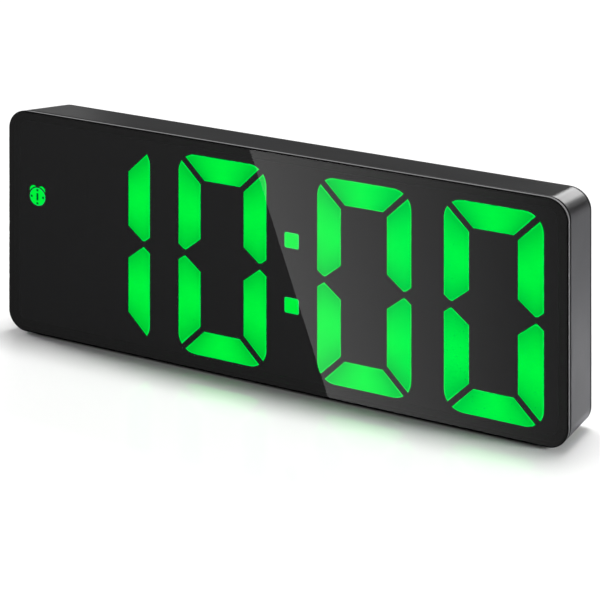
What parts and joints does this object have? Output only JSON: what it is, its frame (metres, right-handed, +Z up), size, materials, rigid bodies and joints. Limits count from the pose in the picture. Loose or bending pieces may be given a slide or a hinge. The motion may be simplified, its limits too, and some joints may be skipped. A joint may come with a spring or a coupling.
{
  "type": "alarm clock",
  "caption": "Wide low LED desk alarm clock with rounded corners: glossy dark front panel, large green seven-segment digits, rear buttons, hinged battery door and a charging inlet.",
  "frame": {"origin": "under the middle of the clock's bounding box, on the plane that the feet rest on", "axes": "+X to the right seen from the front, along the clock's length; -Y out of the front panel; +Z up"},
  "size_m": [0.16, 0.027, 0.0625],
  "materials": {
    "panel_acrylic": "polished smoked acrylic",
    "tape_foam": "matte foam",
    "housing_plastic": "fine satin moulding",
    "reflector_plastic": "matte",
    "lens_lit": "glowing diffuser",
    "lens_dark": "unlit diffuser",
    "led_body": "small moulded part",
    "circuit_board": "solder mask",
    "chip_black": "moulded package",
    "bright_metal": "tin or nickel plated",
    "dark_screw": "black zinc",
    "steel_screw": "zinc plated",
    "pin_gold": "plated",
    "capacitor_sleeve": "sleeved can",
    "button_plastic": "satin",
    "cell_wrap": "wrapped cell",
    "wire_red": "insulated",
    "wire_black": "insulated",
    "foot_rubber": "matte"
  },
  "bodies": {
    "case": {"front_panel": "panel_acrylic", "panel_tape": "tape_foam", "front_housing": "housing_plastic", "reflector": "reflector_plastic", "lit_lenses": "lens_lit", "unlit_lenses": "lens_dark", "colon_lenses": "lens_lit", "alarm_icon_lens": "lens_lit", "segment_leds": "led_body", "main_board": "circuit_board", "board_screws": "steel_screw", "controller_chip": "chip_black", "display_driver": "chip_black", "crystal": "bright_metal", "capacitor": "capacitor_sleeve", "buzzer": "chip_black", "board_resistors": "chip_black", "link_header": "chip_black", "link_pins": "pin_gold", "key_board": "circuit_board", "key_screws": "steel_screw", "key_switches": "chip_black", "usb_shell": "bright_metal", "usb_tongue": "chip_black", "rear_cover": "housing_plastic", "cover_screws": "dark_screw", "battery_cells": "cell_wrap", "terminal_contacts": "bright_metal", "bridge_contacts": "bright_metal", "contact_springs": "bright_metal", "lead_plus": "wire_red", "lead_minus": "wire_black", "feet": "foot_rubber"},
    "mode_key": {"button_mode": "button_plastic", "plunger_mode": "chip_black"},
    "set_key": {"button_set": "button_plastic", "plunger_set": "chip_black"},
    "up_key": {"button_up": "button_plastic", "plunger_up": "chip_black"},
    "down_key": {"button_down": "button_plastic", "plunger_down": "chip_black"},
    "door": {"battery_door": "housing_plastic"}
  },
  "joints": [
    {"name": "mode_press", "type": "slide", "parent": "case", "child": "mode_key", "axis": [0, -1, 0], "range_m": [0, 0.0004], "stiffness_N_per_m": 2500},
    {"name": "set_press", "type": "slide", "parent": "case", "child": "set_key", "axis": [0, -1, 0], "range_m": [0, 0.0004], "stiffness_N_per_m": 2500},
    {"name": "up_press", "type": "slide", "parent": "case", "child": "up_key", "axis": [0, -1, 0], "range_m": [0, 0.0004], "stiffness_N_per_m": 2500},
    {"name": "down_press", "type": "slide", "parent": "case", "child": "down_key", "axis": [0, -1, 0], "range_m": [0, 0.0004], "stiffness_N_per_m": 2500},
    {"name": "door_hinge", "type": "hinge", "parent": "case", "child": "door", "pos_m": [0, 0.0116, 0.006], "axis": [-1, 0, 0], "range_deg": [0, 75]}
  ]
}
